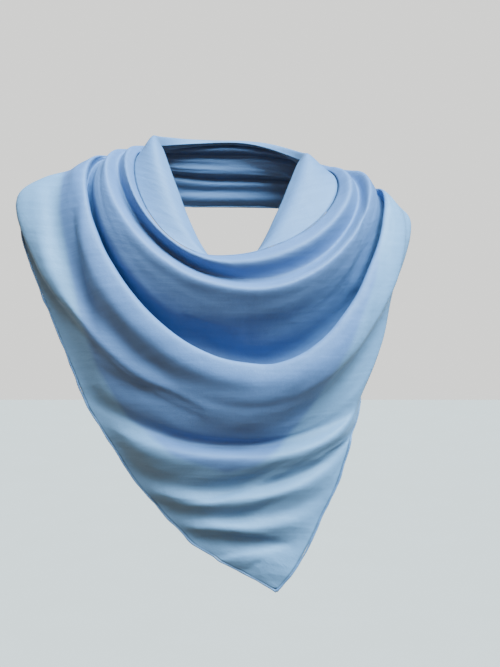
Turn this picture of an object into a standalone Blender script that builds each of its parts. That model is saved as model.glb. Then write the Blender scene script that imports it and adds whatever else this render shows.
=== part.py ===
"""Silk scarf: a hemmed square folded to a triangle and worn as a cowl, with its point in front.

Metres, +Z up. The origin is the middle of the neck opening, the front faces -Y and +X is the viewer's right.
The cloth is lofted through rows that follow its folds. A row hangs from one shoulder to the other.
The first rows are closed by a stretch round the nape, and the later ones end on the hem.
"""

import math
from collections import namedtuple

import bpy
import numpy as np

# Overall sizes of the drape
SPAN = 0.44  # from one shoulder corner to the other
DROP = 0.462  # from the neck opening down to the tip
REACH = 0.155  # from the neck opening forward to the crest of the cowl
NAPE = 0.078  # from the neck opening back to the gathered band at the nape
NAPE_RISE = 0.022  # from the neck opening up to the top of that band
BAND = 0.074  # height of that band

# Sizes of the cloth itself
CLOTH = 0.001
HEM_WIDTH = 0.0024
GAP = 0.0003
SEAM_GAP = 0.0006  # beside the hem, where the edge of the cloth turns a corner

# How a row is divided, and how far its flanks lie back against the chest
HALF_COLUMNS = 20
BACK_COLUMNS = 9
HUG = 0.45
HEM_BEVEL_STEPS = 1

SILK_BLUE = (0.19, 0.33, 0.58, 1.0)
HEM_BLUE = (0.13, 0.25, 0.48, 1.0)
SILK_ROUGHNESS = 0.4
HEM_ROUGHNESS = 0.5

# left, low and right are points on the row, as shares across SPAN, down DROP and forward REACH.
# swing is how far each flank swings out, a share of SPAN, and lift how far it stands forward, of REACH.
# nape is where the row crosses the nape, as shares down BAND and back NAPE. steps divide it from the next.
Loop = namedtuple("Loop", "name left low right swing lift nape steps")
LOOPS = (
    Loop("neck_edge", (-0.218, -0.020, 0.00), (-0.020, 0.222, 0.64), (0.238, 0.022, 0.00),
         (0.048, 0.085), (0.00, 0.00), (0.03, 0.83), 2),
    Loop("collar_roll", (-0.235, -0.035, 0.02), (0.014, 0.234, 0.78), (0.270, 0.016, 0.02),
         (0.055, 0.083), (0.02, 0.02), (0.00, 0.92), 2),
    Loop("collar_valley", (-0.252, -0.021, -0.02), (0.060, 0.277, 0.72), (0.296, 0.040, -0.02),
         (0.068, 0.073), (-0.02, -0.02), (0.12, 0.86), 2),
    Loop("upper_crest", (-0.276, -0.028, 0.02), (0.064, 0.292, 0.90), (0.329, 0.025, 0.02),
         (0.075, 0.068), (0.02, 0.02), (0.20, 0.96), 2),
    Loop("upper_under", (-0.282, -0.018, 0.01), (0.057, 0.335, 0.85), (0.350, 0.047, 0.00),
         (0.086, 0.064), (0.05, 0.03), (0.28, 0.90), 2),
    Loop("pocket_belly", (-0.289, -0.011, -0.01), (0.048, 0.392, 0.755), (0.360, 0.067, -0.03),
         (0.095, 0.063), (0.09, 0.05), (0.36, 0.88), 2),
    Loop("pocket_back", (-0.299, -0.004, -0.02), (0.072, 0.466, 0.67), (0.367, 0.080, -0.03),
         (0.104, 0.066), (0.03, 0.00), (0.44, 0.86), 1),
    Loop("pocket_floor", (-0.312, -0.003, -0.01), (0.100, 0.522, 0.76), (0.376, 0.079, -0.01),
         (0.108, 0.066), (-0.05, -0.06), (0.50, 0.88), 2),
    Loop("cowl_crest", (-0.327, -0.012, 0.02), (0.092, 0.462, 0.93), (0.387, 0.068, 0.02),
         (0.084, 0.040), (0.05, 0.04), (0.58, 0.98), 2),
    Loop("cowl_under", (-0.345, -0.001, 0.04), (0.088, 0.498, 0.98), (0.397, 0.074, 0.03),
         (0.112, 0.062), (0.02, 0.03), (0.66, 0.93), 2),
    Loop("flank_valley", (-0.379, 0.018, 0.02), (0.078, 0.538, 0.97), (0.411, 0.096, 0.01),
         (0.130, 0.085), (-0.08, 0.00), (0.77, 0.97), 2),
    Loop("shoulder_fall", (-0.457, 0.040, 0.00), (0.070, 0.568, 0.945), (0.438, 0.113, 0.00),
         (0.105, 0.055), (-0.05, -0.04), (0.88, 0.94), 2),
    Loop("shoulder_hem", (-0.530, 0.081, 0.00), (0.064, 0.590, 0.915), (0.464, 0.142, 0.00),
         (0.045, 0.030), (-0.02, -0.06), (1.00, 1.00), 2),
)

# These rows end on the hem. turn is how much of the way round the shoulder each end has left, in degrees.
Fall = namedtuple("Fall", "name left low right swing lift turn steps")
FALLS = (
    Fall("high_side", (-0.515, 0.191, 0.20), (0.060, 0.611, 0.880), (0.452, 0.222, -0.02),
         (0.020, 0.030), (0.00, -0.06), (35, 30), 2),
    Fall("mid_side", (-0.455, 0.331, 0.38), (0.056, 0.630, 0.845), (0.410, 0.320, 0.06),
         (0.010, 0.045), (0.02, -0.04), (48, 8), 2),
    Fall("low_side", (-0.393, 0.483, 0.52), (0.052, 0.645, 0.820), (0.378, 0.410, 0.20),
         (0.000, 0.050), (0.02, -0.02), (55, 5), 2),
    Fall("fold_line", (-0.352, 0.573, 0.58), (0.047, 0.657, 0.795), (0.335, 0.530, 0.40),
         (0.000, 0.050), (0.00, 0.00), (58, 20), 2),
    Fall("fold_crest", (-0.322, 0.625, 0.62), (0.047, 0.680, 0.870), (0.322, 0.600, 0.53),
         (0.000, 0.030), (0.03, 0.02), (60, 35), 2),
    Fall("fold_fall", (-0.283, 0.680, 0.66), (0.020, 0.717, 0.850), (0.307, 0.640, 0.59),
         (0.000, 0.020), (0.02, 0.02), (60, 45), 1),
    Fall("low_valley", (-0.247, 0.731, 0.68), (-0.024, 0.759, 0.800), (0.302, 0.657, 0.62),
         (0.000, 0.015), (0.00, 0.00), (60, 50), 1),
    Fall("low_crest", (-0.205, 0.783, 0.71), (-0.020, 0.783, 0.850), (0.288, 0.700, 0.65),
         (0.000, 0.015), (0.01, 0.02), (60, 55), 1),
    Fall("tip_valley", (-0.163, 0.822, 0.73), (-0.011, 0.824, 0.800), (0.264, 0.765, 0.69),
         (0.000, 0.010), (0.00, 0.00), (60, 55), 1),
    Fall("tip_crest", (-0.124, 0.858, 0.75), (0.004, 0.850, 0.825), (0.232, 0.825, 0.72),
         (0.000, 0.010), (0.01, 0.01), (60, 58), 1),
    Fall("crease", (-0.082, 0.890, 0.765), (0.040, 0.882, 0.775), (0.200, 0.890, 0.755),
         (0.000, 0.005), (0.00, 0.00), (60, 60), 1),
    Fall("crease_under", (-0.030, 0.920, 0.78), (0.055, 0.915, 0.810), (0.178, 0.928, 0.775),
         (0.000, 0.000), (0.00, 0.00), (60, 60), 1),
    Fall("above_tip", (0.040, 0.955, 0.785), (0.085, 0.950, 0.800), (0.157, 0.957, 0.79),
         (0.000, 0.000), (0.00, 0.00), (60, 60), 1),
    Fall("tip", (0.116, 0.995, 0.79), (0.121, 0.996, 0.790), (0.126, 0.995, 0.79),
         (0.000, 0.000), (0.00, 0.00), (60, 60), 1),
)

# The neck wrap comes out from under the collar and ends at the neck.
WRAP = (
    Loop("wrap_edge", (-0.174, -0.035, 0.00), (0.010, 0.258, 0.58), (0.184, 0.000, 0.00),
         (-0.014, -0.010), (0.00, 0.00), (0.00, 0.70), 2),
    Loop("wrap_crest", (-0.188, -0.060, 0.00), (0.008, 0.238, 0.615), (0.202, -0.018, 0.00),
         (0.016, 0.012), (0.02, 0.02), (-0.03, 0.76), 2),
)


def place(shares):
    """A point from its shares across, down and forward."""
    across, down, forward = shares
    return np.array([across * SPAN, -forward * REACH, -down * DROP])


def flank(end, low, swing, lift, turn):
    """Half a row, from its end at a shoulder or on the hem to its low point."""
    start = math.radians(turn)
    angles = np.linspace(start, math.pi / 2, HALF_COLUMNS + 1)
    side = np.cos(angles) / math.cos(start)
    fall = 1 - side**2
    ahead = (np.sin(angles) - math.sin(start)) / (1 - math.sin(start))
    ahead = (1 - HUG) * ahead + HUG * fall
    bulge = np.sin(np.linspace(0, math.pi, HALF_COLUMNS + 1))
    outward = math.copysign(1, end[0] - low[0])
    points = np.empty((HALF_COLUMNS + 1, 3))
    points[:, 0] = low[0] + (end[0] - low[0]) * side + outward * swing * SPAN * bulge
    points[:, 1] = end[1] + (low[1] - end[1]) * ahead - lift * REACH * bulge
    points[:, 2] = end[2] + (low[2] - end[2]) * fall
    return points


def nape_stretch(end, low, nape, swing):
    """Half of what closes a row, from the shoulder to the nape, in line with the flank where it starts."""
    angles = np.linspace(0, math.pi / 2, BACK_COLUMNS + 1)
    side = np.cos(angles)
    inward = math.copysign(1, end[0] - low[0])
    slope = (nape[1] - end[1]) / ((end[1] - low[1]) * (1 - HUG))
    points = np.empty((BACK_COLUMNS + 1, 3))
    bulge = np.sin(2 * angles) * (1 - np.sin(angles)) ** 2
    points[:, 0] = nape[0] + (end[0] - nape[0]) * side - inward * swing * SPAN * slope * bulge
    points[:, 1] = end[1] + (nape[1] - end[1]) * np.sin(angles)
    points[:, 2] = end[2] + (nape[2] - end[2]) * (1 - side**2)
    return points


def front_row(row, turns):
    """The points of a row from its left end over its low point to its right end."""
    left, low, right = place(row.left), place(row.low), place(row.right)
    left_half = flank(left, low, row.swing[0], row.lift[0], turns[0])
    right_half = flank(right, low, row.swing[1], row.lift[1], turns[1])
    return np.concatenate([left_half, right_half[-2::-1]])


def back_row(loop):
    """The points that close a row, from past its right end round the nape to its left end."""
    left, low, right = place(loop.left), place(loop.low), place(loop.right)
    nape = np.array([0.0, loop.nape[1] * NAPE, NAPE_RISE - loop.nape[0] * BAND])
    right_half = nape_stretch(right, low, nape, loop.swing[1])
    left_half = nape_stretch(left, low, nape, loop.swing[0])
    return np.concatenate([right_half[1:], left_half[-2:0:-1]])


def between(before, start, end, after, share):
    """A point on the smooth curve from start to end, spaced by the distances between its four points."""
    times = [np.zeros(len(start))]
    for first, second in ((before, start), (start, end), (end, after)):
        apart = np.linalg.norm(second - first, axis=1)
        times.append(times[-1] + np.sqrt(np.maximum(apart, GAP)))
    t0, t1, t2, t3 = (time[:, None] for time in times)
    t = t1 + (t2 - t1) * share
    a1 = ((t1 - t) * before + (t - t0) * start) / (t1 - t0)
    a2 = ((t2 - t) * start + (t - t1) * end) / (t2 - t1)
    a3 = ((t3 - t) * end + (t - t2) * after) / (t3 - t2)
    b1 = ((t2 - t) * a1 + (t - t0) * a2) / (t2 - t0)
    b2 = ((t3 - t) * a2 + (t - t1) * a3) / (t3 - t1)
    return ((t2 - t) * b1 + (t - t1) * b2) / (t2 - t1)


def loft(rows, steps):
    """All rows of the surface: the given ones, with smooth ones between them."""
    padded = [2 * rows[0] - rows[1], *rows, 2 * rows[-1] - rows[-2]]
    made = []
    for index in range(len(rows) - 1):
        for step in range(steps[index]):
            made.append(between(*padded[index:index + 4], step / steps[index]))
    made.append(rows[-1])
    return made


def drape_rows():
    """The drape's front rows, and the back rows that close the first of them."""
    fronts = [front_row(loop, (0, 0)) for loop in LOOPS]
    fronts += [front_row(fall, fall.turn) for fall in FALLS]
    front = loft(fronts, [row.steps for row in LOOPS + FALLS])
    back = loft([back_row(loop) for loop in LOOPS], [loop.steps for loop in LOOPS])
    return front, back


def beside(edge, inside, distance):
    """The line that runs beside an edge, away from the points inside it and square to the edge."""
    along = np.gradient(edge, axis=0)
    along /= np.linalg.norm(along, axis=1)[:, None]
    away = edge - inside
    away -= along * (away * along).sum(axis=1)[:, None]
    away /= np.linalg.norm(away, axis=1)[:, None]
    return edge + away * distance


def wrap_rows(collar, next_row):
    """The neck wrap's closed rows, the last of them seated along the edge of the collar."""
    rows = [np.concatenate([front_row(loop, (0, 0)), back_row(loop)]) for loop in WRAP]
    rows.append(beside(collar, next_row, GAP + CLOTH))
    return loft(rows, [loop.steps for loop in WRAP])


def sheet_mesh(name, rows, closed_rows):
    """A sheet through rows of points. The first closed_rows of them are closed round the nape."""
    mesh = bpy.data.meshes.new(name)
    points = np.concatenate(rows)
    starts = np.cumsum([0] + [len(row) for row in rows])
    front = 2 * HALF_COLUMNS
    faces = []
    for index in range(len(rows) - 1):
        upper, lower = starts[index], starts[index + 1]
        count = len(rows[index]) if index + 1 < closed_rows else front
        for column in range(count):
            after = (column + 1) % len(rows[index])
            faces.append((upper + column, lower + column, lower + after, upper + after))
    mesh.from_pydata(points.tolist(), [], faces)
    mesh.shade_smooth()
    return mesh


def finish(name, data, colour, roughness):
    """An object for a sub-part, with a material of its own."""
    piece = bpy.data.objects.new(name, data)
    bpy.context.scene.collection.objects.link(piece)
    material = bpy.data.materials.new(name)
    material.use_nodes = True
    shader = material.node_tree.nodes["Principled BSDF"]
    shader.inputs["Base Color"].default_value = colour
    shader.inputs["Roughness"].default_value = roughness
    data.materials.append(material)
    return piece


def cloth_wall(piece):
    """Gives a sheet its thickness, half to each side."""
    wall = piece.modifiers.new("cloth wall", "SOLIDIFY")
    wall.thickness = CLOTH
    wall.offset = 0


def add_drape(front, back):
    closed = len(back)
    rows = [np.concatenate(pair) for pair in zip(front, back)] + front[closed:]
    cloth_wall(finish("drape", sheet_mesh("drape", rows, closed), SILK_BLUE, SILK_ROUGHNESS))


def add_neck_wrap(front, back):
    collar = np.concatenate([front[0], back[0]])
    next_row = np.concatenate([front[1], back[1]])
    rows = wrap_rows(collar, next_row)
    cloth_wall(finish("neck_wrap", sheet_mesh("neck_wrap", rows, len(rows)), SILK_BLUE, SILK_ROUGHNESS))


def hem_side(front, back, end):
    """The line of one side's rolled hem, from the nape over the shoulder and down to the tip."""
    closed = len(back)
    nape = BACK_COLUMNS - 1
    last, before = back[closed - 1], back[closed - 2]
    backward = range(nape, len(last)) if end == 0 else range(nape, -1, -1)
    edge = [last[index] for index in backward]
    inside = [before[index] for index in backward]
    neighbour = 1 if end == 0 else -2
    for row in front[closed - 1:]:
        edge.append(row[end])
        inside.append(row[neighbour])
    line = beside(np.array(edge), np.array(inside), HEM_WIDTH / 2 + SEAM_GAP)
    line[0, 0] += math.copysign(GAP / 2, line[1, 0])
    return line


def add_hem(name, line):
    """A rolled hem, a tube beside the edge of the cloth."""
    curve = bpy.data.curves.new(name, "CURVE")
    curve.dimensions = "3D"
    curve.fill_mode = "FULL"
    spline = curve.splines.new("POLY")
    spline.points.add(len(line) - 1)
    for point, centre in zip(spline.points, line):
        point.co = (*centre, 1.0)
    curve.bevel_depth = HEM_WIDTH / 2
    curve.bevel_resolution = HEM_BEVEL_STEPS
    curve.use_fill_caps = True
    finish(name, curve, HEM_BLUE, HEM_ROUGHNESS)


def main():
    for old in list(bpy.data.objects):
        bpy.data.objects.remove(old)
    front, back = drape_rows()
    add_drape(front, back)
    add_neck_wrap(front, back)
    add_hem("left_hem", hem_side(front, back, 0))
    add_hem("right_hem", hem_side(front, back, -1))


main()
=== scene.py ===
"""Looks of the silk scarf: a hemmed square worn as a cowl, in soft satin with a rolled and stitched hem.

The cloth is lofted through the same rows as the solids, only finer, and then creased and given its weave.
Metres, +Z up. The front faces -Y, and the origin is the middle of the neck opening.
"""

import math
from collections import namedtuple

import bpy
import numpy as np
from bpy.props import FloatProperty, FloatVectorProperty, IntProperty, PointerProperty
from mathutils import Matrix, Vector, noise


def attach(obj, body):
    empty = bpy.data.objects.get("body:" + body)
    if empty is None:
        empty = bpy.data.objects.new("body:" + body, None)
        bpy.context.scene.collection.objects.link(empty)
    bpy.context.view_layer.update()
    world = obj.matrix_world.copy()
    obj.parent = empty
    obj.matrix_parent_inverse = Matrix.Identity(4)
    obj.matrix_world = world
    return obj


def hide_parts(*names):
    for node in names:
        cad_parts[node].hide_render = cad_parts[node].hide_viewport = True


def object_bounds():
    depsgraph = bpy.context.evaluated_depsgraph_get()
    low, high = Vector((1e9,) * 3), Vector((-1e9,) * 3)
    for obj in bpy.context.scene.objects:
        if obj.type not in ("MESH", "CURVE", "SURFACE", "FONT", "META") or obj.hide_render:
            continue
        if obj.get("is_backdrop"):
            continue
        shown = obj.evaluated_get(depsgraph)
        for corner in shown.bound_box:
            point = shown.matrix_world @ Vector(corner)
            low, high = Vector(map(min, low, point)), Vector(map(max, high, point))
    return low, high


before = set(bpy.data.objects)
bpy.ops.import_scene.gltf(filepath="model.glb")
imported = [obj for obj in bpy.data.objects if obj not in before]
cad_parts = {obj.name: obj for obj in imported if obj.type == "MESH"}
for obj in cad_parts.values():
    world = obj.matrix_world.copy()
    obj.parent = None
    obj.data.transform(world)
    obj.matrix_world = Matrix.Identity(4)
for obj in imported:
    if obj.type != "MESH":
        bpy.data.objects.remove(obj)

CAD_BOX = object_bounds()

bl_info = {
    "name": "Silk scarf",
    "version": (1, 0, 0),
    "blender": (4, 5, 0),
    "location": "3D View > Sidebar > Scarf",
    "description": "Dresses a draped silk scarf: its cloth, rolled hem, stitches and stage",
    "category": "Object",
}

CLOTH_UV = "cloth"
LAYER = "layer"
# The points' painted shade in the groove beside the hem, which darkens the silk's colour there.
HEM_GROOVE_SHADE = "edge"
STITCH_TREE = "hem stitches"

# left, low and right are points on the row, as shares across the span, down the drop and forward the reach.
# swing is how far each flank swings out, a share of the span, and lift how far it stands forward, a share of
# the reach. nape is where the row crosses the nape, as shares down the band and back to it. steps is how many
# divisions lie between this row and the next.
Loop = namedtuple("Loop", "name left low right swing lift nape steps")
LOOPS = (
    Loop("neck_edge", (-0.218, -0.020, 0.00), (-0.020, 0.222, 0.64), (0.238, 0.022, 0.00),
         (0.048, 0.085), (0.00, 0.00), (0.03, 0.83), 6),
    Loop("collar_roll", (-0.235, -0.035, 0.02), (0.014, 0.234, 0.78), (0.270, 0.016, 0.02),
         (0.055, 0.083), (0.02, 0.02), (0.00, 0.92), 8),
    Loop("collar_valley", (-0.252, -0.021, -0.02), (0.060, 0.277, 0.72), (0.296, 0.040, -0.02),
         (0.068, 0.073), (-0.02, -0.02), (0.12, 0.86), 6),
    Loop("upper_crest", (-0.276, -0.028, 0.02), (0.064, 0.292, 0.90), (0.329, 0.025, 0.02),
         (0.075, 0.068), (0.02, 0.02), (0.20, 0.96), 8),
    Loop("upper_under", (-0.282, -0.018, 0.01), (0.057, 0.335, 0.85), (0.350, 0.047, 0.00),
         (0.086, 0.064), (0.05, 0.03), (0.28, 0.90), 8),
    Loop("pocket_belly", (-0.289, -0.011, -0.01), (0.048, 0.392, 0.755), (0.360, 0.067, -0.03),
         (0.095, 0.063), (0.09, 0.05), (0.36, 0.88), 7),
    Loop("pocket_back", (-0.299, -0.004, -0.02), (0.072, 0.466, 0.67), (0.367, 0.080, -0.03),
         (0.104, 0.066), (0.03, 0.00), (0.44, 0.86), 5),
    Loop("pocket_floor", (-0.312, -0.003, -0.01), (0.100, 0.522, 0.76), (0.376, 0.079, -0.01),
         (0.108, 0.066), (-0.05, -0.06), (0.50, 0.88), 7),
    Loop("cowl_crest", (-0.327, -0.012, 0.02), (0.092, 0.462, 0.93), (0.387, 0.068, 0.02),
         (0.084, 0.040), (0.05, 0.04), (0.58, 0.98), 8),
    Loop("cowl_under", (-0.345, -0.001, 0.04), (0.088, 0.498, 0.98), (0.397, 0.074, 0.03),
         (0.112, 0.062), (0.02, 0.03), (0.66, 0.93), 8),
    Loop("flank_valley", (-0.379, 0.018, 0.02), (0.078, 0.538, 0.97), (0.411, 0.096, 0.01),
         (0.130, 0.085), (-0.08, 0.00), (0.77, 0.97), 8),
    Loop("shoulder_fall", (-0.457, 0.040, 0.00), (0.070, 0.568, 0.945), (0.438, 0.113, 0.00),
         (0.105, 0.055), (-0.05, -0.04), (0.88, 0.94), 8),
    Loop("shoulder_hem", (-0.530, 0.081, 0.00), (0.064, 0.590, 0.915), (0.464, 0.142, 0.00),
         (0.045, 0.030), (-0.02, -0.06), (1.00, 1.00), 9),
)

# These rows end on the hem. turn is how much of the way round the shoulder each end has left, in degrees.
Fall = namedtuple("Fall", "name left low right swing lift turn steps")
FALLS = (
    Fall("high_side", (-0.515, 0.191, 0.20), (0.060, 0.611, 0.880), (0.452, 0.222, -0.02),
         (0.020, 0.030), (0.00, -0.06), (35, 30), 9),
    Fall("mid_side", (-0.455, 0.331, 0.38), (0.056, 0.630, 0.845), (0.410, 0.320, 0.06),
         (0.010, 0.045), (0.02, -0.04), (48, 8), 9),
    Fall("low_side", (-0.393, 0.483, 0.52), (0.052, 0.645, 0.820), (0.378, 0.410, 0.20),
         (0.000, 0.050), (0.02, -0.02), (55, 5), 7),
    Fall("fold_line", (-0.352, 0.573, 0.58), (0.047, 0.657, 0.795), (0.335, 0.530, 0.40),
         (0.000, 0.050), (0.00, 0.00), (58, 20), 7),
    Fall("fold_crest", (-0.322, 0.625, 0.62), (0.047, 0.680, 0.870), (0.322, 0.600, 0.53),
         (0.000, 0.030), (0.03, 0.02), (60, 35), 7),
    Fall("fold_fall", (-0.283, 0.680, 0.66), (0.020, 0.717, 0.850), (0.307, 0.640, 0.59),
         (0.000, 0.020), (0.02, 0.02), (60, 45), 6),
    Fall("low_valley", (-0.247, 0.731, 0.68), (-0.024, 0.759, 0.800), (0.302, 0.657, 0.62),
         (0.000, 0.015), (0.00, 0.00), (60, 50), 6),
    Fall("low_crest", (-0.205, 0.783, 0.71), (-0.020, 0.783, 0.850), (0.288, 0.700, 0.65),
         (0.000, 0.015), (0.01, 0.02), (60, 55), 6),
    Fall("tip_valley", (-0.163, 0.822, 0.73), (-0.011, 0.824, 0.800), (0.264, 0.765, 0.69),
         (0.000, 0.010), (0.00, 0.00), (60, 55), 6),
    Fall("tip_crest", (-0.124, 0.858, 0.75), (0.004, 0.850, 0.825), (0.232, 0.825, 0.72),
         (0.000, 0.010), (0.01, 0.01), (60, 58), 6),
    Fall("crease", (-0.082, 0.890, 0.765), (0.040, 0.882, 0.775), (0.200, 0.890, 0.755),
         (0.000, 0.005), (0.00, 0.00), (60, 60), 6),
    Fall("crease_under", (-0.030, 0.920, 0.78), (0.055, 0.915, 0.810), (0.178, 0.928, 0.775),
         (0, 0), (0, 0), (60, 60), 7),
    Fall("above_tip", (0.040, 0.955, 0.785), (0.085, 0.950, 0.800), (0.157, 0.957, 0.79),
         (0, 0), (0, 0), (60, 60), 7),
    Fall("tip", (0.116, 0.995, 0.79), (0.121, 0.996, 0.790), (0.126, 0.995, 0.79),
         (0, 0), (0, 0), (60, 60), 1),
)

# The neck wrap comes out from under the collar and ends at the neck.
WRAP = (
    Loop("wrap_edge", (-0.174, -0.035, 0.00), (0.010, 0.258, 0.58), (0.184, 0.000, 0.00),
         (-0.014, -0.010), (0.00, 0.00), (0.00, 0.70), 10),
    Loop("wrap_crest", (-0.188, -0.060, 0.00), (0.008, 0.238, 0.615), (0.202, -0.018, 0.00),
         (0.016, 0.012), (0.02, 0.02), (-0.03, 0.76), 14),
)

# Folds too small for the solids. points lie across the span and down the drop. depth is how far the cloth
# sinks along them, or rises where it is negative, and above and below are how wide the fold is on each side.
Crease = namedtuple("Crease", "name points depth above below")
CREASES = (
    Crease("left_diagonal", ((-0.33, 0.470), (-0.291, 0.494), (-0.228, 0.520), (-0.163, 0.529),
                             (-0.108, 0.553), (-0.051, 0.582)), 0.0030, 0.006, 0.014),
    Crease("chest_shadow", ((-0.200, 0.430), (-0.120, 0.520), (0.000, 0.560), (0.120, 0.555), (0.230, 0.480)),
           0.0018, 0.008, 0.010),
    Crease("fold_line", ((-0.375, 0.555), (-0.287, 0.588), (-0.221, 0.609), (-0.166, 0.629), (-0.110, 0.645),
                         (-0.035, 0.654), (0.100, 0.652), (0.166, 0.635), (0.227, 0.618), (0.325, 0.590)),
           0.0036, 0.018, 0.0032),
    Crease("side_line", ((0.300, 0.650), (0.270, 0.670), (0.228, 0.682), (0.174, 0.703), (0.110, 0.718),
                         (0.059, 0.742), (-0.004, 0.766), (-0.089, 0.784), (-0.18, 0.784)),
           0.0040, 0.014, 0.0040),
    Crease("low_line", ((-0.090, 0.818), (-0.035, 0.826), (0.016, 0.826), (0.057, 0.819), (0.105, 0.797),
                        (0.175, 0.770)), 0.0022, 0.008, 0.004),
    Crease("tip_fold", ((-0.100, 0.905), (-0.036, 0.918), (-0.004, 0.915), (0.042, 0.899), (0.096, 0.894),
                        (0.172, 0.886)), 0.0032, 0.014, 0.0030),
    Crease("tip_ridge", ((-0.070, 0.832), (-0.035, 0.840), (0.042, 0.855), (0.122, 0.873), (0.180, 0.886)),
           -0.0022, 0.006, 0.005),
    Crease("tip_pucker", ((0.010, 0.957), (0.049, 0.945), (0.095, 0.923)), 0.0012, 0.003, 0.003),
    Crease("tip_pucker_low", ((0.020, 0.968), (0.045, 0.958), (0.080, 0.948)), 0.0010, 0.003, 0.003),
    Crease("shoulder_soft", ((-0.369, 0.060), (-0.374, 0.107), (-0.376, 0.172), (-0.357, 0.232),
                             (-0.330, 0.290)), 0.0022, 0.006, 0.008),
    Crease("left_hollow", ((-0.402, 0.020), (-0.392, 0.120), (-0.380, 0.210), (-0.352, 0.320),
                           (-0.310, 0.420)), 0.0055, 0.008, 0.014),
    Crease("left_swell", ((-0.470, 0.060), (-0.465, 0.130), (-0.450, 0.210), (-0.425, 0.300)),
           -0.0025, 0.010, 0.010),
    Crease("right_pleat", ((0.330, 0.060), (0.337, 0.130), (0.330, 0.200), (0.310, 0.270), (0.275, 0.350)),
           0.0016, 0.004, 0.006),
    Crease("right_side", ((0.395, 0.140), (0.392, 0.230), (0.372, 0.330), (0.340, 0.440), (0.300, 0.530)),
           0.0020, 0.008, 0.012),
    Crease("belly_soft", ((-0.080, 0.360), (-0.010, 0.405), (0.070, 0.410), (0.160, 0.370)),
           0.0012, 0.010, 0.008),
    Crease("left_turn", ((-0.450, 0.330), (-0.388, 0.482), (-0.347, 0.572), (-0.317, 0.624), (-0.278, 0.679),
                         (-0.242, 0.730), (-0.200, 0.782), (-0.158, 0.821), (-0.119, 0.857), (-0.077, 0.889),
                         (-0.025, 0.919)), 0.0085, 0.024, 0.060),
    Crease("left_chest", ((-0.300, 0.330), (-0.262, 0.400), (-0.200, 0.460), (-0.120, 0.490)),
           0.0014, 0.008, 0.010),
)

# Hollows that only the cloth from the pocket's belly to its floor takes.
POCKET_CREASES = (
    Crease("pocket_hollow", ((-0.120, 0.360), (-0.010, 0.450), (0.087, 0.478), (0.182, 0.456), (0.269, 0.392),
                             (0.325, 0.300)), 0.0100, 0.018, 0.012),
)
POCKET_ROWS = ("pocket_belly", "pocket_floor")

# The second layer of the folded square shows through where it lies behind the first. These are points on
# its edge, across the span and down the drop, from the left shoulder by its own tip to the right one.
Corner = namedtuple("Corner", "across down")
LAYER_EDGE = (
    Corner(-0.42, -0.20), Corner(-0.42, 0.12), Corner(-0.37, 0.33), Corner(-0.32, 0.48), Corner(-0.24, 0.60),
    Corner(-0.12, 0.68), Corner(0.00, 0.715), Corner(0.07, 0.70), Corner(0.13, 0.66), Corner(0.21, 0.56),
    Corner(0.30, 0.42), Corner(0.36, 0.28), Corner(0.40, 0.10), Corner(0.40, -0.20),
)

# Fine ripples of the silk. across and down weigh the way along a row and the drop, in ripples to a metre.
# offset keeps their noise apart from the others', and share is how much of the height they have.
Ripple = namedtuple("Ripple", "across down offset share")
RIPPLES = (
    Ripple((8.0, 0.0), (0.0, 46.0), (0.0, 0.0), 1.00),
    Ripple((20.0, 0.0), (0.0, 95.0), (4.0, 3.0), 0.40),
    Ripple((30.0, 30.0), (9.0, -9.0), (0.0, 8.0), 0.60),
)

# The ripples end this far from the nape.
NAPE_FADE = 0.04

# How wide the layer's edge blurs, and how far the neck wrap has the double layer's tone.
LAYER_BLUR = 0.005
WRAP_LAYER = 0.7

# How far the hem's middle lies outside the cloth's edge and its stitches inside it, in hem widths.
HEM_OUT = 0.45
STITCH_IN = 0.15
SIDES = (("left", 0), ("right", -1))

# How high the silk's patterns stand, in metres.
THREAD_RISE = 0.00006
SLUB_RISE = 0.00042
MOTTLE_RISE = 0.00075
PUCKER_RISE = 0.00022

BIAS = (0.0, 0.0, math.radians(45))
SHEEN_TINT = (0.70, 0.84, 1.0)
FLOOR_TONES = ((0.38, 0.285, 0.24), (0.40, 0.30, 0.26))
DOME_COLOUR = (1.0, 0.80, 0.58)
BACKDROP_COLOUR = (1.0, 1.0, 0.97)
WINDOW_COLOUR = (0.48, 0.81, 1.0)
FILL_COLOUR = (1.0, 0.90, 0.78)
WINDOW_SPOT = (0.75, -0.85, 1.90)
FILL_SPOTS = (("right fill", (0.9, -1.5, 0.5)), ("left fill", (-1.3, -1.0, 0.3)))
CHEST = Vector((0.0, -0.10, -0.20))


def length(name, description, default):
    """A property for a length."""
    return FloatProperty(name=name, description=description, default=default, unit="LENGTH")


def colour(name, description, default):
    """A property for a colour."""
    return FloatVectorProperty(name=name, description=description, size=3, default=default, subtype="COLOR")


class ScarfDrapeSizes(bpy.types.PropertyGroup):
    """Sizes of the drape."""

    span: length("Span", "From one shoulder corner to the other", 0.44)
    drop: length("Drop", "From the neck opening down to the tip", 0.462)
    reach: length("Reach", "From the neck opening forward to the cowl's crest", 0.155)
    nape: length("Nape", "From the neck opening back to the gathered band", 0.078)
    nape_rise: length("Nape rise", "Top of the band above the neck opening", 0.022)
    band: length("Band", "Height of the gathered band at the nape", 0.074)
    hug: FloatProperty(name="Hug", description="How far the flanks lie back against the chest", default=0.45,
                       min=0.0, max=1.0, subtype="FACTOR")
    cloth: length("Cloth", "Thickness of the two layers of silk", 0.0006)
    half_columns: IntProperty(name="Half columns", description="Divisions of each half of a row",
                              default=100, min=10)
    back_columns: IntProperty(name="Back columns", description="Divisions from a shoulder to the nape",
                              default=30, min=5)
    crinkle: length("Crinkle", "Height of the fine ripples in the silk", 0.0010)


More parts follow.
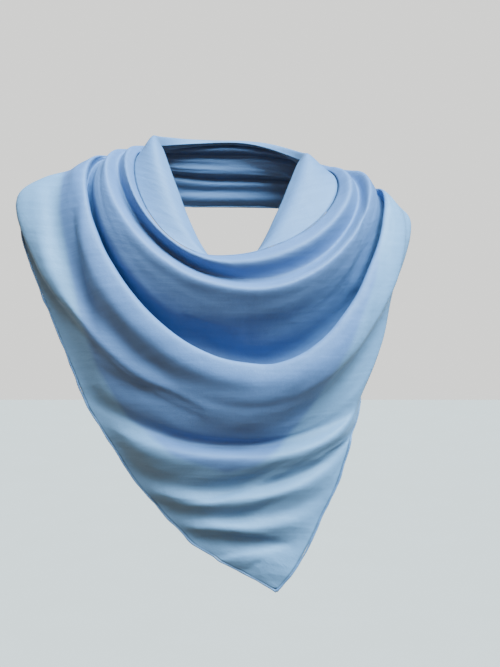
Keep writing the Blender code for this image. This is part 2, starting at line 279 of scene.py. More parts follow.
class ScarfSilk(bpy.types.PropertyGroup):
    """Colours and finish of the silk."""

    double: colour("Double layer", "Colour where two layers lie together", (0.108, 0.168, 0.325))
    single: colour("Single layer", "Colour where one layer hangs free", (0.155, 0.250, 0.390))
    hem: colour("Hem", "Colour of the rolled hem", (0.090, 0.160, 0.300))
    thread: colour("Thread", "Colour of the hem's stitches", (0.045, 0.080, 0.160))
    roughness: FloatProperty(name="Roughness", description="Roughness of the satin face", default=0.42,
                             min=0.0, max=1.0, subtype="FACTOR")
    weave: length("Weave", "Distance from one thread of the weave to the next", 0.0005)


class ScarfHem(bpy.types.PropertyGroup):
    """Sizes of the rolled hem and its stitches."""

    width: length("Width", "Width of the rolled hem", 0.0024)
    step: length("Step", "Distance between two sections of the hem", 0.0012)
    sides: IntProperty(name="Sides", description="Sides of the hem's section", default=8, min=5)
    sway: length("Sway", "How far the hem wanders from its line", 0.0011)
    stitch: length("Stitch", "Distance from one stitch to the next", 0.0034)
    stitch_length: length("Stitch length", "Length of one stitch", 0.0022)
    thread: length("Thread", "Thickness of the sewing thread", 0.00032)


class ScarfStage(bpy.types.PropertyGroup):
    """The floor, the lights and the camera."""

    floor: length("Floor", "Height of the floor below the neck opening", -1.2)
    distance: length("Distance", "From the camera to what it looks at", 1.5)
    elevation: FloatProperty(name="Elevation", description="Angle of the camera above the level",
                             default=math.radians(6), subtype="ANGLE")
    view_height: length("View height", "Height of what the camera sees at its target", 0.7337)
    window: FloatProperty(name="Window", description="Strength of the soft light from above", default=22.0)
    fill: FloatProperty(name="Fill", description="Power of each light that fills the shadows", default=3.0)
    dome: FloatProperty(name="Dome", description="Strength of the light from all round", default=0.38)
    backdrop: FloatProperty(name="Backdrop", description="Brightness of the pale surroundings", default=1.35)
    target: FloatVectorProperty(name="Target", description="What the camera looks at", size=3,
                                default=(0.025, -0.06, -0.19), subtype="XYZ", unit="LENGTH")


class Wire:
    """A socket in a node tree, so that shader maths can be written as Python expressions."""

    def __init__(self, tree, socket):
        self.tree = tree
        self.socket = socket

    def node(self, kind, settings=None, output=0, **sockets):
        """Adds a node. settings are set first, and then the values or links of its sockets."""
        made = self.tree.nodes.new(kind)
        for name, value in (settings or {}).items():
            setattr(made, name, value)
        for name, value in sockets.items():
            put(self.tree, find_socket(made, name), value)
        return Wire(self.tree, made.outputs[output])

    def math(self, operation, *values):
        made = self.tree.nodes.new("ShaderNodeMath")
        made.operation = operation
        for socket, value in zip(made.inputs, values):
            put(self.tree, socket, value)
        return Wire(self.tree, made.outputs[0])

    def __add__(self, other):
        return self.math("ADD", self, other)

    __radd__ = __add__

    def __sub__(self, other):
        return self.math("SUBTRACT", self, other)

    def __rsub__(self, other):
        return self.math("SUBTRACT", other, self)

    def __mul__(self, other):
        return self.math("MULTIPLY", self, other)

    __rmul__ = __mul__

    def sine(self):
        return self.math("SINE", self)

    def clamp(self):
        return self.math("MINIMUM", self.math("MAXIMUM", self, 0.0), 1.0)

    def noise(self, scale, detail):
        """Flat noise at this place."""
        return self.node("ShaderNodeTexNoise", {"noise_dimensions": "2D"}, Vector=self, Scale=scale,
                         Detail=detail)

    def blend(self, low, high):
        """The colour low where this is 0, and high where it is 1."""
        return self.node("ShaderNodeMix", {"data_type": "RGBA"}, 2, Factor_Float=self, A_Color=low,
                         B_Color=high)


def find_socket(node, name):
    """A socket by its name, or by its name and type where a node has several of that name."""
    for socket in node.inputs:
        if socket.identifier == name:
            return socket
    return node.inputs[name.replace("_", " ")]


def put(tree, socket, value):
    """Sets a socket, or links it."""
    if isinstance(value, Wire):
        tree.links.new(value.socket, socket)
    elif socket.type == "RGBA" and len(value) == 3:
        socket.default_value = (*value, 1.0)
    else:
        socket.default_value = value


def new_material(name):
    """A material with an empty Principled shader, and a wire that starts its tree."""
    material = bpy.data.materials.new(name)
    material.use_nodes = True
    tree = material.node_tree
    shader = tree.nodes["Principled BSDF"]
    return material, shader, Wire(tree, shader.outputs[0])


def finish_shader(wire, shader, colour, shade, **sockets):
    """Gives the shader a colour made darker or lighter by shade, and its other values and links."""
    tinted = wire.node("ShaderNodeVectorMath", {"operation": "SCALE"}, Vector=colour, Scale=shade)
    for name, value in {"Base_Color": tinted, **sockets}.items():
        put(wire.tree, find_socket(shader, name), value)


def silk_material(name, silk, least=0.80, slubbed=0.20, clouded=0.10, mottled=0.10, groove=0.5):
    """Soft satin: a fine weave and slubs on the bias, a paler tone where one layer hangs, and painted shade
    in the groove beside the hem.
    """
    material, shader, wire = new_material(name)
    uv = wire.node("ShaderNodeUVMap", {"uv_map": CLOTH_UV})
    layer = wire.node("ShaderNodeAttribute", {"attribute_name": LAYER}, 2)
    edge = wire.node("ShaderNodeAttribute", {"attribute_name": HEM_GROOVE_SHADE}, 2)
    along = wire.node("ShaderNodeMapping", Vector=uv, Rotation=BIAS, Scale=(9.0, 160.0, 1.0))
    slub = along.noise(scale=1.0, detail=3.0)
    cloud = uv.noise(scale=14.0, detail=2.0)
    mottle = uv.noise(scale=70.0, detail=4.0)
    pucker = uv.noise(scale=210.0, detail=3.0)
    shade = least + slub * slubbed + cloud * clouded + mottle * mottled
    # Painted shade: the colour darkens in the groove beside the hem.
    shade = shade * (1.0 - edge * groove)
    threads = weave_height(wire, uv, silk.weave)
    height = threads * THREAD_RISE + slub * SLUB_RISE + mottle * MOTTLE_RISE + pucker * PUCKER_RISE
    finish_shader(
        wire, shader, layer.blend(tuple(silk.single), tuple(silk.double)), shade,
        Roughness=silk.roughness + slub * 0.08 - mottle * 0.05,
        Normal=wire.node("ShaderNodeBump", Height=height, Strength=0.6, Distance=1.0),
        Specular_IOR_Level=0.22, Sheen_Weight=0.06, Sheen_Roughness=0.35, Sheen_Tint=SHEEN_TINT)
    return material


def weave_height(wire, uv, pitch, longer=2.5):
    """The height of a satin weave on the bias. The weft's pitch is longer times the warp's."""
    turned = wire.node("ShaderNodeMapping", Vector=uv, Rotation=BIAS)
    parts = wire.node("ShaderNodeSeparateXYZ", Vector=turned)
    warp = parts * (math.tau / pitch)
    weft = Wire(wire.tree, parts.socket.node.outputs[1]) * (math.tau / (pitch * longer))
    return warp.sine() * (weft.sine() * 0.5 + 0.5)


def hem_material(silk, least=0.72, painted_pucker_shade=0.35, faded=0.25, rise=0.0006):
    """The rolled hem: the same satin turned over on itself, with small puckers along it and painted shade in
    their hollows.
    """
    material, shader, wire = new_material("rolled_hem")
    uv = wire.node("ShaderNodeUVMap", {"uv_map": CLOTH_UV})
    stretched = wire.node("ShaderNodeMapping", Vector=uv, Scale=(260.0, 60.0, 1.0))
    pucker = stretched.noise(scale=1.0, detail=3.0)
    worn = uv.noise(scale=25.0, detail=2.0)
    # Painted shade: the hem's colour is darker in the hollows of its puckers, following the same noise as
    # their bump.
    finish_shader(
        wire, shader, tuple(silk.hem), least + pucker * painted_pucker_shade + worn * faded,
        Roughness=silk.roughness + 0.05 + pucker * 0.1,
        Normal=wire.node("ShaderNodeBump", Height=pucker * rise, Strength=0.7, Distance=1.0),
        Sheen_Weight=0.2)
    return material


def thread_material(silk, least=0.75, grained=0.5):
    """The sewing thread, a twisted filament."""
    material, shader, wire = new_material("sewing_thread")
    spot = wire.node("ShaderNodeTexCoord", output=3)
    grain = wire.node("ShaderNodeTexNoise", Vector=spot, Scale=2600.0, Detail=2.0)
    finish_shader(wire, shader, tuple(silk.thread), least + grain * grained, Roughness=0.35 + grain * 0.2)
    return material


def place(sizes, shares):
    """A point from its shares across, down and forward."""
    across, down, forward = shares
    return np.array([across * sizes.span, -forward * sizes.reach, -down * sizes.drop])


def flank(sizes, end, low, swing, lift, turn):
    """Half a row, from its end at a shoulder or on the hem to its low point."""
    start = math.radians(turn)
    count = sizes.half_columns + 1
    angles = np.linspace(start, math.pi / 2, count)
    side = np.cos(angles) / math.cos(start)
    fall = 1 - side**2
    ahead = (np.sin(angles) - math.sin(start)) / (1 - math.sin(start))
    ahead = (1 - sizes.hug) * ahead + sizes.hug * fall
    bulge = np.sin(np.linspace(0, math.pi, count))
    outward = math.copysign(1, end[0] - low[0])
    points = np.empty((count, 3))
    points[:, 0] = low[0] + (end[0] - low[0]) * side + outward * swing * sizes.span * bulge
    points[:, 1] = end[1] + (low[1] - end[1]) * ahead - lift * sizes.reach * bulge
    points[:, 2] = end[2] + (low[2] - end[2]) * fall
    return points


def nape_stretch(sizes, end, low, nape, swing):
    """Half of what closes a row, from the shoulder to the nape, in line with the flank where it starts."""
    angles = np.linspace(0, math.pi / 2, sizes.back_columns + 1)
    side = np.cos(angles)
    inward = math.copysign(1, end[0] - low[0])
    slope = (nape[1] - end[1]) / ((end[1] - low[1]) * (1 - sizes.hug))
    bulge = np.sin(2 * angles) * (1 - np.sin(angles)) ** 2
    points = np.empty((sizes.back_columns + 1, 3))
    points[:, 0] = nape[0] + (end[0] - nape[0]) * side - inward * swing * sizes.span * slope * bulge
    points[:, 1] = end[1] + (nape[1] - end[1]) * np.sin(angles)
    points[:, 2] = end[2] + (nape[2] - end[2]) * (1 - side**2)
    return points


def front_row(sizes, row, turns):
    """The points of a row from its left end over its low point to its right end."""
    left, low, right = (place(sizes, shares) for shares in (row.left, row.low, row.right))
    left_half = flank(sizes, left, low, row.swing[0], row.lift[0], turns[0])
    right_half = flank(sizes, right, low, row.swing[1], row.lift[1], turns[1])
    return np.concatenate([left_half, right_half[-2::-1]])


def back_row(sizes, loop):
    """The points that close a row, from past its right end round the nape to its left end."""
    left, low, right = (place(sizes, shares) for shares in (loop.left, loop.low, loop.right))
    nape = np.array([0.0, loop.nape[1] * sizes.nape, sizes.nape_rise - loop.nape[0] * sizes.band])
    right_half = nape_stretch(sizes, right, low, nape, loop.swing[1])
    left_half = nape_stretch(sizes, left, low, nape, loop.swing[0])
    return np.concatenate([right_half[1:], left_half[-2:0:-1]])


def between(before, start, end, after, share, least=0.0003):
    """A point on the smooth curve from start to end, spaced by the distances between its four points."""
    times = [np.zeros(len(start))]
    for first, second in ((before, start), (start, end), (end, after)):
        apart = np.linalg.norm(second - first, axis=1)
        times.append(times[-1] + np.sqrt(np.maximum(apart, least)))
    t0, t1, t2, t3 = (time[:, None] for time in times)
    t = t1 + (t2 - t1) * share
    a1 = ((t1 - t) * before + (t - t0) * start) / (t1 - t0)
    a2 = ((t2 - t) * start + (t - t1) * end) / (t2 - t1)
    a3 = ((t3 - t) * end + (t - t2) * after) / (t3 - t2)
    b1 = ((t2 - t) * a1 + (t - t0) * a2) / (t2 - t0)
    b2 = ((t3 - t) * a2 + (t - t1) * a3) / (t3 - t1)
    return ((t2 - t) * b1 + (t - t1) * b2) / (t2 - t1)


def loft(rows, steps):
    """All rows of the surface: the given ones, with smooth ones between them."""
    padded = [2 * rows[0] - rows[1], *rows, 2 * rows[-1] - rows[-2]]
    made = []
    for index in range(len(rows) - 1):
        for step in range(steps[index]):
            made.append(between(*padded[index:index + 4], step / steps[index]))
    made.append(rows[-1])
    return made


def drape_rows(sizes):
    """The drape's front rows, and the back rows that close the first of them."""
    fronts = [front_row(sizes, loop, (0, 0)) for loop in LOOPS]
    fronts += [front_row(sizes, fall, fall.turn) for fall in FALLS]
    front = loft(fronts, [row.steps for row in LOOPS + FALLS])
    back = loft([back_row(sizes, loop) for loop in LOOPS], [loop.steps for loop in LOOPS])
    return front, back


def beside(edge, inside, distance):
    """The line that runs beside an edge, away from the points inside it and square to the edge."""
    along = np.gradient(edge, axis=0)
    along /= np.linalg.norm(along, axis=1)[:, None]
    away = edge - inside
    away -= along * (away * along).sum(axis=1)[:, None]
    away /= np.linalg.norm(away, axis=1)[:, None]
    return edge + away * distance


def wrap_rows(sizes, collar, next_row):
    """The neck wrap's closed rows, the last of them tucked in along the edge of the collar."""
    rows = [np.concatenate([front_row(sizes, loop, (0, 0)), back_row(sizes, loop)]) for loop in WRAP]
    rows.append(beside(collar, next_row, sizes.cloth * 2))
    return loft(rows, [loop.steps for loop in WRAP])


def running(steps):
    """The sums of steps, from zero on."""
    return np.concatenate([[0.0], np.cumsum(steps)])


def lengths_along(points):
    """How far each point lies along a line of points."""
    return running(np.linalg.norm(np.diff(points, axis=0), axis=1))


def half_rows(sizes, count):
    """A row's columns from its low point to the right and to the left, both on to the nape if it closes."""
    front = 2 * sizes.half_columns
    nape = front + sizes.back_columns
    right = list(range(sizes.half_columns, min(nape, count - 1) + 1))
    left = list(range(sizes.half_columns, -1, -1))
    if count > front + 1:
        left += list(range(count - 1, nape - 1, -1))
    return right, left


def rows_by_half(sizes, rows):
    """Each row with its drop, and the side, 1 for the right, and the columns of both of its halves."""
    centre = np.array([row[sizes.half_columns] for row in rows])
    for row, drop in zip(rows, lengths_along(centre)):
        yield row, drop, zip((1, -1), half_rows(sizes, len(row)))


def flat_places(sizes, rows):
    """Where each point lies on the cloth laid flat, for each half of its row. Both share the low point."""
    places = []
    for row, drop, halves in rows_by_half(sizes, rows):
        flats = []
        for side, order in halves:
            steps = np.diff(row[order], axis=0)
            across = running(np.abs(steps[:, 0]))
            rise = running(np.hypot(steps[:, 1], steps[:, 2]))
            flat = np.zeros((len(row), 2))
            flat[order] = np.stack([side * across, drop - rise], axis=1)
            flats.append(flat)
        places.append(flats)
    return places


def smooth_mesh(name, points, faces, uvs):
    """A smooth mesh with its cloth coordinates, one for each corner of its faces."""
    mesh = bpy.data.meshes.new(name)
    mesh.from_pydata(np.array(points).tolist(), [], faces)
    layer = mesh.uv_layers.new(name=CLOTH_UV)
    layer.data.foreach_set("uv", np.array(uvs, np.float32).ravel())
    mesh.shade_smooth()
    return mesh


def sheet_mesh(sizes, name, rows, closed_rows):
    """A sheet through rows of points, with its cloth coordinates. The first closed_rows go round the nape."""
    starts = np.cumsum([0] + [len(row) for row in rows])
    front = 2 * sizes.half_columns
    nape = front + sizes.back_columns
    places = flat_places(sizes, rows)
    faces, uvs = [], []
    for index in range(len(rows) - 1):
        upper, lower = starts[index], starts[index + 1]
        count = len(rows[index]) if index + 1 < closed_rows else front
        for column in range(count):
            after = (column + 1) % len(rows[index])
            half = 0 if sizes.half_columns <= column < nape else 1
            faces.append((upper + column, lower + column, lower + after, upper + after))
            for row, corner in ((index, column), (index + 1, column), (index + 1, after), (index, after)):
                uvs.append(places[row][half][corner])
    return smooth_mesh(name, np.concatenate(rows), faces, uvs)


def ripple_places(sizes, rows):
    """For each point its way along the row, the drop of the row, and 1 that fades to 0 at the nape."""
    found = []
    for row, drop, halves in rows_by_half(sizes, rows):
        values = np.zeros((len(row), 3))
        closed = len(row) > 2 * sizes.half_columns + 1
        for side, order in halves:
            along = lengths_along(row[order])
            fade = np.clip((along[-1] - along) / NAPE_FADE, 0, 1) if closed else np.ones(len(order))
            values[order] = np.stack([side * along, np.full(len(order), drop), fade], axis=1)
        found.append(values)
    return np.concatenate(found)


def to_segment(spots, start, end):
    """For each spot its nearest place on a segment, from 0 to 1, and how far that is."""
    along = end - start
    share = np.clip(((spots - start) @ along) / (along @ along), 0, 1)
    return share, np.linalg.norm(spots - start - share[:, None] * along, axis=1)


def side_of_layer(sizes, points):
    """How far each point lies inside the second layer's edge, seen from the front, or outside if negative."""
    edge = np.array([(corner.across * sizes.span, -corner.down * sizes.drop) for corner in LAYER_EDGE])
    spots = points[:, [0, 2]]
    nearest = np.full(len(spots), np.inf)
    inside = np.zeros(len(spots), bool)
    for start, end in zip(edge, np.roll(edge, -1, axis=0)):
        along = end - start
        nearest = np.minimum(nearest, to_segment(spots, start, end)[1])
        crosses = (start[1] > spots[:, 1]) != (end[1] > spots[:, 1])
        rise = np.where(end[1] == start[1], 1.0, end[1] - start[1])
        inside ^= crosses & (spots[:, 0] < start[0] + (spots[:, 1] - start[1]) * along[0] / rise)
    return np.where(inside, nearest, -nearest)


def add_attribute(mesh, name, values):
    """A number for each point of a mesh."""
    attribute = mesh.attributes.new(name, "FLOAT", "POINT")
    attribute.data.foreach_set("value", np.asarray(values, np.float32))


def crinkle(sizes, mesh, places):
    """Raises fine ripples, most of them long along the rows and short across them."""
    points = points_of(mesh)
    heights = np.zeros(len(points))
    for index, (along, drop, fade) in enumerate(places):
        for ripple in RIPPLES:
            across = along * ripple.across[0] + drop * ripple.across[1] + ripple.offset[0]
            down = along * ripple.down[0] + drop * ripple.down[1]
            heights[index] += ripple.share * fade * noise.noise((across, down, ripple.offset[1]))
    move(mesh, points + outward_normals(mesh) * (heights * sizes.crinkle)[:, None])


def crease_cloth(sizes, mesh, creases, chosen, steps=8):
    """Sinks creases into the chosen points of the cloth. steps divide each stretch of their lines."""
    points = points_of(mesh)
    spots = points[:, [0, 2]]
    sunk = np.zeros(len(points))
    for crease in creases:
        ends = [np.array([[across * sizes.span, -down * sizes.drop]]) for across, down in crease.points]
        line = np.concatenate(loft(ends, [steps] * (len(ends) - 1)))
        sunk += crease.depth * crease_profile(spots, line, crease.above, crease.below)
    sunk[~chosen] = 0.0
    move(mesh, points - outward_normals(mesh) * sunk[:, None])


def crease_profile(spots, line, above, below):
    """How far each spot feels a crease, from 0 to 1. It fades towards both ends of the line."""
    if line[0, 0] > line[-1, 0]:
        line = line[::-1]
    nearest = np.full(len(spots), np.inf)
    profile = np.zeros(len(spots))
    ways = lengths_along(line) / lengths_along(line)[-1]
    for index, (start, end) in enumerate(zip(line, line[1:])):
        along = end - start
        share, apart = to_segment(spots, start, end)
        over = along[0] * (spots[:, 1] - start[1]) - along[1] * (spots[:, 0] - start[0]) > 0
        way = ways[index] + share * (ways[index + 1] - ways[index])
        fade = 1 - np.abs(2 * way - 1) ** 3
        value = np.exp(-((apart / np.where(over, above, below)) ** 2)) * fade
        closer = apart < nearest
        profile[closer] = value[closer]
        nearest = np.minimum(nearest, apart)
    return profile


def outward_normals(mesh):
    """The normals of a sheet's points, turned so that those of the front face forward."""
    normals = np.empty(len(mesh.vertices) * 3, np.float32)
    mesh.vertex_normals.foreach_get("vector", normals)
    normals = normals.reshape(-1, 3).astype(float)
    points = points_of(mesh)
    front = points[:, 1] < np.median(points[:, 1])
    return normals if normals[front, 1].mean() < 0 else -normals


def points_of(mesh):
    """The points of a mesh as rows of three numbers."""
    points = np.empty(len(mesh.vertices) * 3, np.float32)
    mesh.vertices.foreach_get("co", points)
    return points.reshape(-1, 3).astype(float)


def move(mesh, points):
    """Puts a mesh's points somewhere else."""
    mesh.vertices.foreach_set("co", points.astype(np.float32).ravel())
    mesh.update()


def new_piece(name, data, materials):
    """An object for a piece, linked to the scene."""
    piece = bpy.data.objects.new(name, data)
    bpy.context.scene.collection.objects.link(piece)
    for material in materials:
        data.materials.append(material)
    return piece


def thicken(piece, thickness):
    """Makes a sheet a closed wall, half to each side, as a plain mesh."""
    wall = piece.modifiers.new("cloth wall", "SOLIDIFY")
    wall.thickness = thickness
    wall.offset = 0
    make_plain(piece)


def make_plain(piece):
    """Replaces a piece's data by the mesh that its modifiers give."""
    graph = bpy.context.evaluated_depsgraph_get()
    plain = bpy.data.meshes.new_from_object(piece.evaluated_get(graph), preserve_all_data_layers=True,
                                            depsgraph=graph)
    piece.modifiers.clear()
    piece.data = plain
    piece.data.shade_smooth()


def declare(piece, slot, *nodes):
    """The piece rides on the one body, and stands for its nodes."""
    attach(piece, "root")
    if nodes:
        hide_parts(*nodes)


def shaped_cloth(sizes):
    """The drape's sheet with its creases and ripples, its rows, and how many of them go round the nape."""
    front, back = drape_rows(sizes)
    closed = len(back)
    rows = [np.concatenate(pair) for pair in zip(front, back)] + front[closed:]
    mesh = sheet_mesh(sizes, "draped_silk", rows, closed)
    in_front = np.concatenate([np.arange(len(row)) <= 2 * sizes.half_columns for row in rows])
    crease_cloth(sizes, mesh, CREASES, in_front)
    crease_cloth(sizes, mesh, POCKET_CREASES, in_front & in_pocket(rows))
    crinkle(sizes, mesh, ripple_places(sizes, rows))
    return mesh, np.split(points_of(mesh), np.cumsum([len(row) for row in rows])[:-1]), closed


def in_pocket(rows):
    """Whether each point of the rows is on the cloth of the pocket."""
    first, last = (sum(loop.steps for loop in LOOPS[:index]) for index, loop in enumerate(LOOPS)
                   if loop.name in POCKET_ROWS)
    return np.concatenate([np.full(len(row), first <= index <= last) for index, row in enumerate(rows)])


def shaped_rows(sizes):
    """The front rows and the back rows of the creased cloth."""
    mesh, rows, closed = shaped_cloth(sizes)
    bpy.data.meshes.remove(mesh)
    count = 2 * sizes.half_columns + 1
    return [row[:count] for row in rows], [row[count:] for row in rows[:closed]]


def hem_line(front, back, end, distance, inward=6):
    """The line of one side's hem, from the nape over the shoulder and down to the tip."""
    closed = len(back)
    last, before = back[closed - 1], back[closed - 2]
    middle = len(last) // 2
    backward = range(middle, len(last)) if end == 0 else range(middle, -1, -1)
    edge = [last[index] for index in backward]
    inside = [before[index] for index in backward]
    neighbour = inward if end == 0 else -1 - inward
    for row in front[closed - 1:]:
        edge.append(row[end])
        inside.append(row[neighbour])
    line = beside(np.array(edge), np.array(inside), distance)
    tip = front[-1].mean(axis=0) - (0.0, 0.0, 2 * max(distance, 0.0))
    return np.concatenate([line[:-1], [tip]])


def hem_lines(scene, out, step):
    """Each side, and a line out hem widths outside its edge of the cloth, with points a step apart."""
    front, back = shaped_rows(scene.scarf_drape)
    for side, end in SIDES:
        yield side, resample(hem_line(front, back, end, scene.scarf_hem.width * out), step)


def resample(line, step):
    """The line with its points a step apart."""
    along = lengths_along(line)
    count = max(2, round(along[-1] / step))
    places = np.linspace(0, along[-1], count + 1)
    return np.stack([np.interp(places, along, line[:, axis]) for axis in range(3)], axis=1)


def frames_along(line):
    """For each point of a line its direction, and two square to it that turn as little as can be."""
    ahead = np.gradient(line, axis=0)
    ahead /= np.linalg.norm(ahead, axis=1)[:, None]
    side = np.cross(ahead[0], (0.0, 0.0, 1.0))
    sides = []
    for direction in ahead:
        side = side - direction * (side @ direction)
        side = side / np.linalg.norm(side)
        sides.append(side)
    sides = np.array(sides)
    return ahead, sides, np.cross(ahead, sides)


def rolled_tube(name, line, hem, rolls=90.0, roll=0.30, pinch=0.12, nub=0.45, sways=45.0, flat=0.85):
    """A closed tube along a line, uneven as a hem rolled by hand is, pinched by its stitches, with a nub at
    the tip. rolls and sways say how many there are to a metre, and flat is its height for its width.
    """
    _, sides, ups = frames_along(line)
    along = lengths_along(line)
    turns = np.linspace(0, math.tau, hem.sides, endpoint=False)
    points, faces, uvs = [], [], []
    for index, centre in enumerate(line):
        way = along[index]
        rolled = 1 + roll * noise.noise((way * rolls, 7.0, len(line) * 0.1))
        pinched = 1 - pinch * math.cos(math.tau * way / hem.stitch)
        swollen = 1 + nub * math.exp(-(((along[-1] - way) / hem.width) ** 2))
        radius = hem.width / 2 * rolled * pinched * swollen
        sway = hem.sway * noise.noise((way * sways, 2.0, 0.0)) * sides[index]
        ring = np.cos(turns)[:, None] * sides[index] + np.sin(turns)[:, None] * ups[index] * flat
        points.extend(centre + sway + ring * radius)
    count = len(line)
    for index in range(count - 1):
        for side in range(hem.sides):
            after = (side + 1) % hem.sides
            first, second = index * hem.sides, (index + 1) * hem.sides
            faces.append((first + side, first + after, second + after, second + side))
            for row, turn in ((index, side), (index, side + 1), (index + 1, side + 1), (index + 1, side)):
                uvs.append((along[row], turn / hem.sides * hem.width * 3))
    last = (count - 1) * hem.sides
    faces.append(tuple(range(hem.sides - 1, -1, -1)))
    faces.append(tuple(range(last, last + hem.sides)))
    uvs.extend([(0.0, 0.0)] * hem.sides + [(along[-1], 0.0)] * hem.sides)
    return smooth_mesh(name, points, faces, uvs)


def stitch_tree(seed=11, least=0.7, most=1.3):
    """Geometry Nodes that sew small slanted stitches along a curve, from least to most of the slant."""
    tree = bpy.data.node_groups.new(STITCH_TREE, "GeometryNodeTree")
    face = tree.interface
    face.new_socket("Geometry", in_out="INPUT", socket_type="NodeSocketGeometry")
    for name in ("Spacing", "Length", "Thread", "Slant"):
        face.new_socket(name, in_out="INPUT", socket_type="NodeSocketFloat")
    face.new_socket("Material", in_out="INPUT", socket_type="NodeSocketMaterial")
    face.new_socket("Geometry", in_out="OUTPUT", socket_type="NodeSocketGeometry")
    wire = Wire(tree, None)
    inputs = tree.nodes.new("NodeGroupInput")
    given = {socket.name: Wire(tree, socket) for socket in inputs.outputs if socket.name}
    spread = wire.node("GeometryNodeCurveToPoints", {"mode": "LENGTH"}, Curve=given["Geometry"],
                       Length=given["Spacing"])
    turned = Wire(tree, spread.socket.node.outputs["Rotation"])
    wobble = wire.node("FunctionNodeRandomValue", {"data_type": "FLOAT"}, 1, Seed=seed)
    put(tree, wobble.socket.node.inputs[2], least)
    put(tree, wobble.socket.node.inputs[3], most)
    lean = wire.node("ShaderNodeCombineXYZ", X=given["Slant"] * wobble)
    slanted = wire.node("FunctionNodeRotateRotation", {"rotation_space": "LOCAL"}, Rotation=turned,
                        Rotate_By=lean)
    stitch = wire.node("GeometryNodeMeshCylinder", Vertices=6, Side_Segments=1, Radius=given["Thread"],
                       Depth=given["Length"])
    placed = wire.node("GeometryNodeInstanceOnPoints", Points=spread, Instance=stitch, Rotation=slanted)
    real = wire.node("GeometryNodeRealizeInstances", Geometry=placed)
    smooth = wire.node("GeometryNodeSetShadeSmooth", Geometry=real)
    done = wire.node("GeometryNodeSetMaterial", Geometry=smooth, Material=given["Material"])
    outputs = tree.nodes.new("NodeGroupOutput")
    put(tree, outputs.inputs[0], done)
    return tree


def sew(name, line, hem, material, slant=38):
    """A piece that holds the stitches along a line."""
    curve = bpy.data.curves.new(name, "CURVE")
    curve.dimensions = "3D"
    spline = curve.splines.new("POLY")
    spline.points.add(len(line) - 1)
    for point, centre in zip(spline.points, line):
        point.co = (*centre, 1.0)
    piece = new_piece(name, curve, [material])
    sewing = piece.modifiers.new("stitches", "NODES")
    sewing.node_group = bpy.data.node_groups.get(STITCH_TREE) or stitch_tree()
    values = {"Spacing": hem.stitch, "Length": hem.stitch_length, "Thread": hem.thread / 2,
              "Slant": math.radians(slant), "Material": material}
    for item in sewing.node_group.interface.items_tree:
        if item.in_out == "INPUT" and item.name in values:
            sewing[item.identifier] = values[item.name]
    graph = bpy.context.evaluated_depsgraph_get()
    plain = bpy.data.meshes.new_from_object(piece.evaluated_get(graph), depsgraph=graph)
    bpy.data.objects.remove(piece)
    return new_piece(name, plain, [])


def silk_piece(scene, name, surface, mesh, node, layer, edge):
    """A piece of silk cloth in place of a node, from its sheet, the layer of its points and the painted shade
    of the groove beside the hem.
    """
    add_attribute(mesh, LAYER, layer)
    add_attribute(mesh, HEM_GROOVE_SHADE, edge)
    piece = new_piece(name, mesh, [silk_material(surface, scene.scarf_silk)])
    thicken(piece, scene.scarf_drape.cloth)
    declare(piece, "silk", node)
    return piece


class SCARF_OT_drape_cloth(bpy.types.Operator):
    """Make the draped silk, from the collar over the shoulders down to the tip"""

    bl_idname = "scarf.drape_cloth"
    bl_label = "Drape the cloth"

    def execute(self, context):
        sizes = context.scene.scarf_drape
        mesh, rows, closed = shaped_cloth(sizes)
        layer = np.clip(side_of_layer(sizes, points_of(mesh)) / LAYER_BLUR + 0.5, 0, 1)
        # Painted shade in the groove beside the hem, for the silk's colour.
        edge = self.hem_groove_shade(rows, closed)
        piece = silk_piece(context.scene, "draped_silk", "satin_silk", mesh, "drape", layer, edge)
        return {"FINISHED"}

    def hem_groove_shade(self, rows, closed, width=0.0018, steep=1.6):
        """Painted shade for the groove beside the hem: 1 in the groove, and 0 from steep times its width on.
        """
        values = []
        for index, row in enumerate(rows):
            if index < closed:
                values.append(np.zeros(len(row)))
                continue
            along = lengths_along(row)
            near = np.minimum(along, along[-1] - along)
            values.append(np.clip(steep - near / width, 0, 1))
        return np.concatenate(values)


class SCARF_OT_wrap_neck(bpy.types.Operator):
    """Make the band of silk that wraps the neck and tucks in under the collar"""

    bl_idname = "scarf.wrap_neck"
    bl_label = "Wrap the neck"

    def execute(self, context):
        sizes = context.scene.scarf_drape
        front, back = drape_rows(sizes)
        collar = np.concatenate([front[0], back[0]])
        next_row = np.concatenate([front[1], back[1]])
        rows = wrap_rows(sizes, collar, next_row)
        mesh = sheet_mesh(sizes, "wrapped_silk", rows, len(rows))
        crinkle(sizes, mesh, ripple_places(sizes, rows))
        layer = np.full(len(mesh.vertices), WRAP_LAYER)
        piece = silk_piece(context.scene, "wrapped_silk", "satin_silk_wrap", mesh, "neck_wrap", layer,
                           np.zeros(len(mesh.vertices)))
        return {"FINISHED"}


class SCARF_OT_roll_hems(bpy.types.Operator):
    """Roll the hem along both sides of the scarf"""

    bl_idname = "scarf.roll_hems"
    bl_label = "Roll the hems"

    def execute(self, context):
        hem = context.scene.scarf_hem
        material = hem_material(context.scene.scarf_silk)
        for side, line in hem_lines(context.scene, HEM_OUT, hem.step):
            name = side + "_rolled_hem"
            piece = new_piece(name, rolled_tube(name, line, hem), [material])
            declare(piece, "hem", side + "_hem")
        return {"FINISHED"}


class SCARF_OT_sew_hems(bpy.types.Operator):
    """Sew the small slanted stitches that hold the rolled hems"""

    bl_idname = "scarf.sew_hems"
    bl_label = "Sew the hems"

    def execute(self, context):
        hem = context.scene.scarf_hem
        material = thread_material(context.scene.scarf_silk)
        for side, line in hem_lines(context.scene, -STITCH_IN, hem.stitch):
            declare(sew(side + "_stitches", line, hem, material), "hem")
        return {"FINISHED"}


